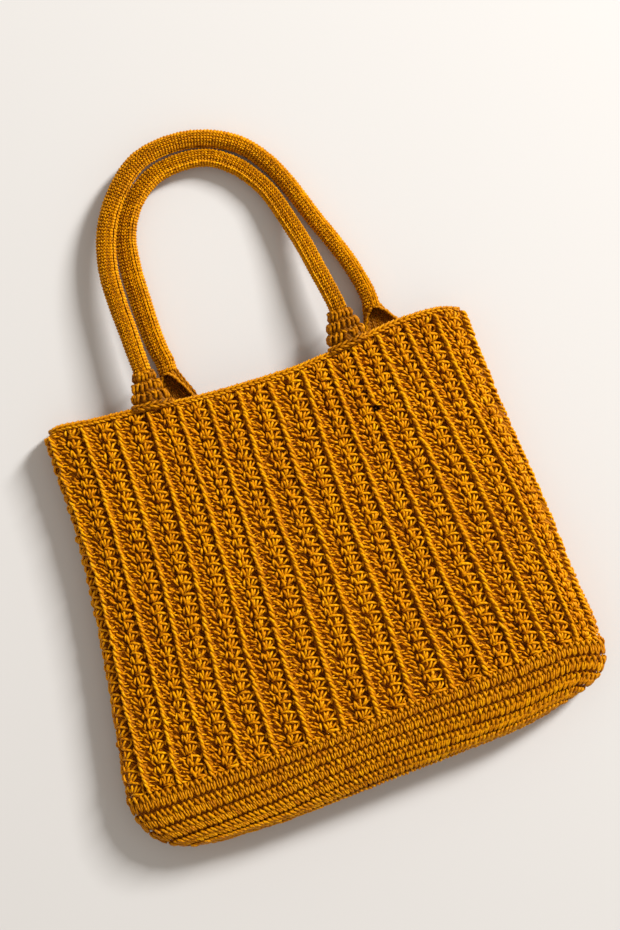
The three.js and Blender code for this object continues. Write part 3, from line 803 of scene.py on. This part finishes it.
# A ring's point is centre + wide * cos * outwards + tall * sin * up. The line is tucked in at both sides, as a
# high power of the way out.
def rimSurface():
    height = body["height"] - body["rimHeight"]
    size = sizeAt(height, body["wall"] / 2 + rim["inset"])
    shares = np.arange(rim["columns"]) / rim["columns"]
    x, z = section(size, shares)
    line = np.stack([x, rimTopAt(x) - rim["below"], z - hollowAt(x, rimTopAt(x), z, size)], axis=1)
    line = drawIn(line[None])[0]
    line[:, 0] -= rim["tuckedIn"] * (line[:, 0] / rim["tuckReach"]) ** rim["tuckPower"]
    along = np.roll(line, -1, 0) - np.roll(line, 1, 0)
    out = np.stack([-along[:, 2], 0 * x, along[:, 0]], axis=1)
    out /= np.linalg.norm(out, axis=1, keepdims=True)
    turn = np.linspace(-np.pi, np.pi, rim["sectionSteps"])[:, None, None]
    up = np.array([0.0, 1.0, 0.0])
    wide, tall = rim["wide"], rim["tall"]
    grid = line[None] + wide * np.cos(turn) * out[None] + tall * np.sin(turn) * up
    normal = tall * np.cos(turn) * out[None] + wide * np.sin(turn) * up
    return grid, normal / np.linalg.norm(normal, axis=2, keepdims=True)


rimSkin = rimSurface()


# Levels on the rim's skin count from the inside, 0, over the foot of the edging, 0.25, its outer side, 0.5, and
# its top, 0.75, back to the inside, 1. The chain lies on its outer side, and other strands go over the top.
thick, thin = rim["yarnRadius"], rim["thinRadius"]
rimStitch = dict(
    chainHigh=([(0.0, 0.5, 0.0), (0.45, 0.54, 0.9), (1.0, 0.605, 0.95), (1.4, 0.64, -0.1)], thick, 5, 6),
    chainLow=([(0.0, 0.49, 0.0), (0.45, 0.45, 0.9), (1.0, 0.39, 0.9), (1.4, 0.35, -0.1)], thick, 5, 6),
    overTop=([(0.1, 0.64, 0.1), (0.3, 0.72, 0.9), (0.45, 0.82, 0.9), (0.6, 0.92, 0.1)], thick, 5, 5),
    overNext=([(0.6, 0.65, 0.1), (0.8, 0.73, 0.7), (0.95, 0.83, 0.8), (1.1, 0.92, 0.1)], thin, 5, 5),
    footLoop=([(0.2, 0.36, 0.0), (0.4, 0.28, 0.5), (0.6, 0.18, 0.0)], thin, 4, 5),
)


def rimParts():
    stitch = np.arange(rim["stitches"])
    parts = [
        strandSet(rimSkin, stitch, 0.0 * stitch, evenShare(rim["stitches"]), 1, strand, rim["jitter"])
        for strand in rimStitch.values()
    ]
    coarse = rimSkin[0][:-1:3, ::4]  # every third step round and every fourth along are enough under the chain
    parts.append(groundPart(np.concatenate([coarse, coarse[:1]])))
    return parts


makePiece("rim_chain", rimParts(), plainYarnPaintedShade, replaced=["rim_edging"])

# Handles: knitted tubes with the solid model's routes

handles = dict(
    radius=6.5,
    core=4.9,
    corePaintedShade=-0.1,
    strandsIn=0.85,
    wales=17,
    openWales=5,
    courseLength=2.25,
    reachIn=4.0,
    frontFeet=(-75.6, 67.9),
    backFeet=(-59.5, 91.7),
    footRise=16,
    gap=0.3,
    frontLevel=25.0,
    backLevel=7.9,
    steps=400,
    columns=144,
    creaseDepth=0.2,
    creaseReach=0.035,
    jitter=(0.03, 0.05, 0.08),
)
# across in half spans, up in rises, lift from the surface to the front feet's level
outerRoute = np.array(
    [
        [-1.0, 0.0, 1.0], [-1.0, 0.03, 1.0], [-1.006, 0.08, 0.99], [-1.013, 0.187, 0.92], [-1.029, 0.35, 0.76],
        [-1.021, 0.514, 0.62], [-0.937, 0.691, 0.54], [-0.766, 0.843, 0.5], [-0.524, 0.96, 0.36],
        [-0.216, 1.0, 0.15], [0.084, 0.977, 0.04], [0.34, 0.903, 0.0], [0.519, 0.786, 0.0], [0.635, 0.655, 0.0],
        [0.757, 0.467, 0.0], [0.841, 0.35, 0.0], [0.925, 0.22, 0.0], [0.983, 0.093, 0.0], [1.0, 0.03, 0.0],
        [1.0, 0.0, 0.0],
    ]
)
innerRoute = np.array(
    [
        [-1.0, 0.0, 0.0], [-1.0, 0.03, 0.0], [-1.025, 0.087, 0.0], [-1.05, 0.206, 0.0], [-1.056, 0.387, 0.0],
        [-1.048, 0.567, 0.0], [-0.985, 0.729, 0.0], [-0.799, 0.873, 0.0], [-0.518, 0.97, 0.0],
        [-0.185, 1.0, 0.0], [0.133, 0.98, 0.0], [0.389, 0.901, 0.0], [0.565, 0.8, 0.02], [0.684, 0.689, 0.1],
        [0.792, 0.515, 0.32], [0.861, 0.387, 0.53], [0.934, 0.206, 0.82], [0.982, 0.087, 0.96],
        [1.0, 0.03, 1.0], [1.0, 0.0, 1.0],
    ]
)

# Twist is in radians from end to end, widths are how wide the tube lies against its height, at even steps from
# the left foot to the right, and creases are shares round it.
outerHandle = dict(
    route=outerRoute,
    leftX=handles["frontFeet"][0],
    rightX=handles["backFeet"][1],
    rise=149,
    twist=1.5,
    widths=[1.0, 1.08, 1.12, 1.08, 1.02, 1.0, 1.0, 1.0, 1.0],
    creases=(0.215, 0.31),
)
innerHandle = dict(
    route=innerRoute,
    leftX=handles["backFeet"][0],
    rightX=handles["frontFeet"][1],
    rise=135,
    twist=0.3,
    widths=[1.1, 1.24, 1.24, 1.1, 1.02, 1.0, 1.0, 1.0, 1.0],
    creases=(0.15, 0.26),
)


# A tube's surface is a grid with a row for each step along it and a column for each step round it:
# centre + radius * (width * cos * sideways + sin * up), less a bell at each crease, with the rows at equal lengths.
def tubeSurface(handle, radius):
    route, leftX, rightX = handle["route"], handle["leftX"], handle["rightX"]
    centre = np.stack(
        [
            (leftX + rightX) / 2 + route[:, 0] * (rightX - leftX) / 2,
            body["height"] + handles["footRise"] + handles["gap"] + route[:, 1] * handle["rise"],
            mix(handles["backLevel"], handles["frontLevel"], route[:, 2]),
        ],
        axis=1,
    )
    line = smooth(centre[None], 600)[0]  # finer than the steps, so that these come out equal
    line = np.concatenate([line[:1] - [0, handles["reachIn"], 0], line, line[-1:] - [0, handles["reachIn"], 0]])
    length = np.concatenate([[0], np.cumsum(np.linalg.norm(np.diff(line, axis=0), axis=1))])
    even = np.linspace(0, length[-1], handles["steps"])
    line = np.stack([np.interp(even, length, line[:, k]) for k in range(3)], axis=1)
    tangent = np.gradient(line, axis=0)
    tangent /= np.linalg.norm(tangent, axis=1, keepdims=True)
    sideways = np.cross(tangent, [0.0, 0.0, 1.0])
    sideways /= np.linalg.norm(sideways, axis=1, keepdims=True)
    up = np.cross(sideways, tangent)
    around = np.arange(handles["columns"])[None] / handles["columns"]
    angle = 2 * np.pi * around + handle["twist"] * even[:, None] / length[-1]
    normal = -np.cos(angle)[..., None] * sideways[:, None] + np.sin(angle)[..., None] * up[:, None]
    width = smooth(np.array(handle["widths"])[None, :, None], handles["steps"])[0][:, :, None]
    ring = -width * np.cos(angle)[..., None] * sideways[:, None] + np.sin(angle)[..., None] * up[:, None]
    for at in handle["creases"]:
        crease = handles["creaseDepth"] * np.exp(-(((around - at) / handles["creaseReach"]) ** 2))
        ring = ring * (1 - crease)[..., None]
    return (line[:, None] + radius * ring, normal), length[-1]


# Stocking stitch: each stitch is two legs that rise from one point and part, nested in the next. The stitches are
# tight but for some wales on the outer side, which are stretched open.
knitStitch = dict(
    tight=[
        ([(0.5, -0.3, -0.3), (0.35, 0.4, 0.35), (0.25, 1.05, -0.3)], 0.62, 3, 4),
        ([(0.5, -0.3, -0.3), (0.65, 0.4, 0.35), (0.75, 1.05, -0.3)], 0.62, 3, 4),
    ],
    open=[
        ([(0.5, -0.02, -0.5), (0.2, 0.36, 0.5), (0.06, 0.92, -0.5)], 0.47, 3, 4),
        ([(0.5, -0.02, -0.5), (0.8, 0.36, 0.5), (0.94, 0.92, -0.5)], 0.47, 3, 4),
    ],
)


def makeHandle(name, node, handle):
    skin, length = tubeSurface(handle, handles["radius"] - handles["strandsIn"])
    courses = int(round(length / handles["courseLength"]))
    openWales, wales = handles["openWales"], handles["wales"]
    parts = []
    for kind, first, last in (("open", 0, openWales), ("tight", openWales, wales)):
        wale = np.tile(np.arange(first, last), courses)
        course = np.repeat(np.arange(courses), last - first)
        for strand in knitStitch[kind]:
            parts.append(strandSet(skin, wale, course, evenShare(wales), courses, strand, handles["jitter"]))
    core, _ = tubeSurface(handle, handles["core"])
    coarse = core[0][::3, ::12]  # the core only shows as a dark gap between stitches
    # The core's tone lies below the yarn's, so the gaps between the stitches are painted dark: painted shade.
    parts.append(groundPart(coarse, handles["corePaintedShade"], capped=True))
    makePiece(name, parts, tubeYarnWithGapShade, replaced=[node])


makeHandle("knit_outer", "handle_outer", outerHandle)
makeHandle("knit_inner", "handle_inner", innerHandle)

# Feet: the front ones are three rounds of posts over a chain; the back ones carry the handle's stocking stitch
# down round an arch. Levels are the heights of the rim and the handle above the floor.

frontFoot = dict(
    width=28.5, depth=12, rimLevel=25.6, handleLevel=handles["frontLevel"], lap=3.8, skew=0.0,
    rounds=3, posts=18, links=18, chainRows=0.6, postJitter=(0.1, 0.06, 0.3), chainJitter=(0.04, 0.02, 0.08),
)
backFoot = dict(
    width=26, depth=6.6, rimLevel=3.9, handleLevel=handles["backLevel"], lap=1.2, skew=2.6, curve=1.05,
    courses=8, wales=14, jitter=(0.04, 0.05, 0.1), outsideShade=0.5, insidePaintedShade=0.2, archUp=0.8, archClear=0.05,
    edgeSteps=40, edgeSides=8, edgeRadius=1.05, edgeUp=0.5, edgeJitter=0.25, edgeSpread=0.2, edgeTone=0.6,
)
# The shell under a foot's stitches has a tone near the bottom of the foot yarn's range: painted shade between the
# posts.
sleeve = dict(
    top=5.0, overlap=0.6, fineRows=41, fineColumns=180, levels=12, columns=72, outside=0.2, inside=1.5, tone=0.05
)


# A flared sleeve, from an ellipse at the rim to a circle at the handle: mix(top, half the width, (1 - up)^curve)
def footSurface(foot, x, curve):
    up = np.linspace(0, 1, sleeve["fineRows"])[:, None]
    flare = (1 - up) ** curve
    angle = 2 * np.pi * (np.arange(sleeve["fineColumns"]) / sleeve["fineColumns"])[None]
    px = x + foot["skew"] * flare - mix(sleeve["top"], foot["width"] / 2, flare) * np.cos(angle)
    pz = mix(foot["rimLevel"], foot["handleLevel"], up)
    pz = pz + mix(sleeve["top"], foot["depth"] / 2, flare) * np.sin(angle)
    py = mix(rimTopAt(px) - foot["lap"], body["height"] + handles["footRise"] + sleeve["overlap"], up)
    grid = np.stack([px, py, pz], axis=2)
    return grid, normalsOf(grid)


# The arch is half an ellipse in the sleeve's own shares and levels.
def archLow(share, arch):
    if arch is None:
        return 0 * share
    middle, reach = arch
    return backFoot["archUp"] * np.sqrt(np.clip(1 - ((share - middle) / reach) ** 2, 0, 1))


# A closed shell just under the stitches, from the arch's line up, painted dark with the sleeve's tone as the shade
# between them
def sleeveGround(skin, arch):
    share = np.arange(sleeve["columns"])[None] / sleeve["columns"] + np.zeros((sleeve["levels"], 1))
    level = mix(archLow(share, arch), 1, np.linspace(0, 1, sleeve["levels"])[:, None])
    middle, normal = sample(skin, share, level)
    outer, inner = middle - sleeve["outside"] * normal, middle - sleeve["inside"] * normal
    shell = np.concatenate([outer, inner[::-1], outer[:1]])
    shell[:, :, 2] = np.maximum(shell[:, :, 2], lowest["ground"])
    return groundPart(shell, sleeve["tone"])


# A front foot's post and the bar across its head
footPosts = [
    ([(0.85, 0.95, -0.1), (0.64, 0.56, 1.8), (0.36, 0.08, 0.0)], 1.12, 4, 7),
    ([(0.05, 0.86, 0.2), (0.36, 0.8, 2.0), (0.7, 0.62, 1.7)], 0.8, 4, 6),
]
# The front foot's lower edge carries the rim's chain across it, up in chain rows.
footChain = [
    ([(0.0, 0.42, 0.4), (0.45, 0.56, 1.5), (1.0, 0.82, 1.5), (1.4, 0.95, 0.3)], 0.82, 5, 6),
    ([(0.0, 0.4, 0.4), (0.45, 0.26, 1.4), (1.0, 0.04, 1.4), (1.4, -0.08, 0.3)], 0.82, 5, 6),
]


def makeFrontFoot(name, node, x, curve):
    skin = footSurface(frontFoot, x, curve)
    rounds, posts, chainRows = frontFoot["rounds"], frontFoot["posts"], frontFoot["chainRows"]
    post = np.tile(np.arange(posts), rounds).astype(float)
    course = np.repeat(np.arange(rounds), posts) + chainRows
    parts = [
        strandSet(skin, post, course, evenShare(posts), rounds + chainRows, strand, frontFoot["postJitter"])
        for strand in footPosts
    ]
    link = np.arange(frontFoot["links"]).astype(float)
    for controls, radius, count, sides in footChain:
        strand = ([(u, v * chainRows, h) for u, v, h in controls], radius, count, sides)
        parts.append(
            strandSet(
                skin, link, 0 * link, evenShare(frontFoot["links"]), rounds + chainRows, strand,
                frontFoot["chainJitter"],
            )
        )
    parts.append(sleeveGround(skin, None))
    makePiece(name, parts, footYarnPaintedShade, replaced=[node])


# The stitches stop at the arch. A lining of stitches on the sleeve's lower half shows through it, painted darker
# than the outside as the shade inside the sleeve, and a cord follows its edge.
def makeBackFoot(name, node, x, arch):
    skin = footSurface(backFoot, x, backFoot["curve"])
    inside = (skin[0] - sleeve["inside"] * skin[1], -skin[1])
    wales, courses = backFoot["wales"], backFoot["courses"]
    wale = np.tile(np.arange(wales), courses).astype(float)
    course = np.repeat(np.arange(courses), wales)
    stitchMiddle = (course + 0.4) / courses
    aboveArch = stitchMiddle > archLow((wale + 0.5) / wales, arch) + backFoot["archClear"]
    lowerHalf = wale >= wales / 2
    parts = []
    for surface, chosen, shade in (
        (skin, aboveArch, backFoot["outsideShade"]),
        (inside, lowerHalf, backFoot["insidePaintedShade"]),
    ):
        for strand in knitStitch["tight"]:
            parts.append(
                strandSet(
                    surface, wale[chosen], course[chosen], evenShare(wales), courses, strand, backFoot["jitter"],
                    shade=shade,
                )
            )
    turn = np.linspace(0, np.pi, backFoot["edgeSteps"])
    edgeShare, edgeLevel = arch[0] - arch[1] * np.cos(turn), backFoot["archUp"] * np.sin(turn)
    points, normals = sample(skin, edgeShare[None], edgeLevel[None])
    points = points + normals * backFoot["edgeUp"] + backFoot["edgeJitter"] * random.normal(size=points.shape)
    radii = backFoot["edgeRadius"] + backFoot["edgeSpread"] * random.normal(size=(1, len(turn)))
    parts.append(sweep(points, normals, radii, backFoot["edgeSides"], np.array([backFoot["edgeTone"]])))
    parts.append(sleeveGround(skin, arch))
    makePiece(name, parts, footYarnPaintedShade, replaced=[node])


# The front feet's last value is the curve of their flare, the back ones' is their arch: middle and reach in shares.
makeFrontFoot("posts_front_left", "foot_front_left", handles["frontFeet"][0], 1.05)
makeFrontFoot("posts_front_right", "foot_front_right", handles["frontFeet"][1], 0.75)
makeBackFoot("posts_back_left", "foot_back_left", handles["backFeet"][0], (0.2, 0.18))
makeBackFoot("posts_back_right", "foot_back_right", handles["backFeet"][1], (0.265, 0.19))

# Floor and light: a matt pale floor, a warm white sky and one long soft light from the upper right. Sizes are in m.

studio = dict(
    floorColor="#D7D5D3",
    floorRoughness=0.85,
    floorHalf=4,
    skyColor="#F3EBE1",
    skyStrength=0.53,
    keyWatts=222,
    keyColor=(1.0, 0.995, 0.985),
    keySize=(0.55, 1.3),
    keyPlace=(2.9, 1.5, 2.3),
)
half = studio["floorHalf"]
floor = bpy.data.objects.new("floor", bpy.data.meshes.new("floor"))
floor.data.from_pydata([(-half, -half, 0), (half, -half, 0), (half, half, 0), (-half, half, 0)], [], [(0, 1, 2, 3)])
bpy.context.scene.collection.objects.link(floor)
# painted board: even and dull, so that it shows the bag's soft shadow and no reflection
floorMaterial = bpy.data.materials.new("matt_pale_floor")
floorMaterial.use_nodes = True
floorShader = floorMaterial.node_tree.nodes["Principled BSDF"]
floorShader.inputs["Base Color"].default_value = linear(studio["floorColor"])
floorShader.inputs["Roughness"].default_value = studio["floorRoughness"]
floor.data.materials.append(floorMaterial)

world = bpy.data.worlds.new("world")
bpy.context.scene.world = world
world.use_nodes = True
world.node_tree.nodes["Background"].inputs[0].default_value = linear(studio["skyColor"])
world.node_tree.nodes["Background"].inputs[1].default_value = studio["skyStrength"]

key = bpy.data.objects.new("key", bpy.data.lights.new("key", "AREA"))
key.data.shape = "RECTANGLE"
key.data.size, key.data.size_y = studio["keySize"]
key.data.energy = studio["keyWatts"]
key.data.color = studio["keyColor"]
key.location = studio["keyPlace"]
key.rotation_euler = (-key.location).to_track_quat("-Z", "Y").to_euler()
bpy.context.scene.collection.objects.link(key)
print("floor and light ready")

print("in all", sum(madeTriangles.values()), "triangles")
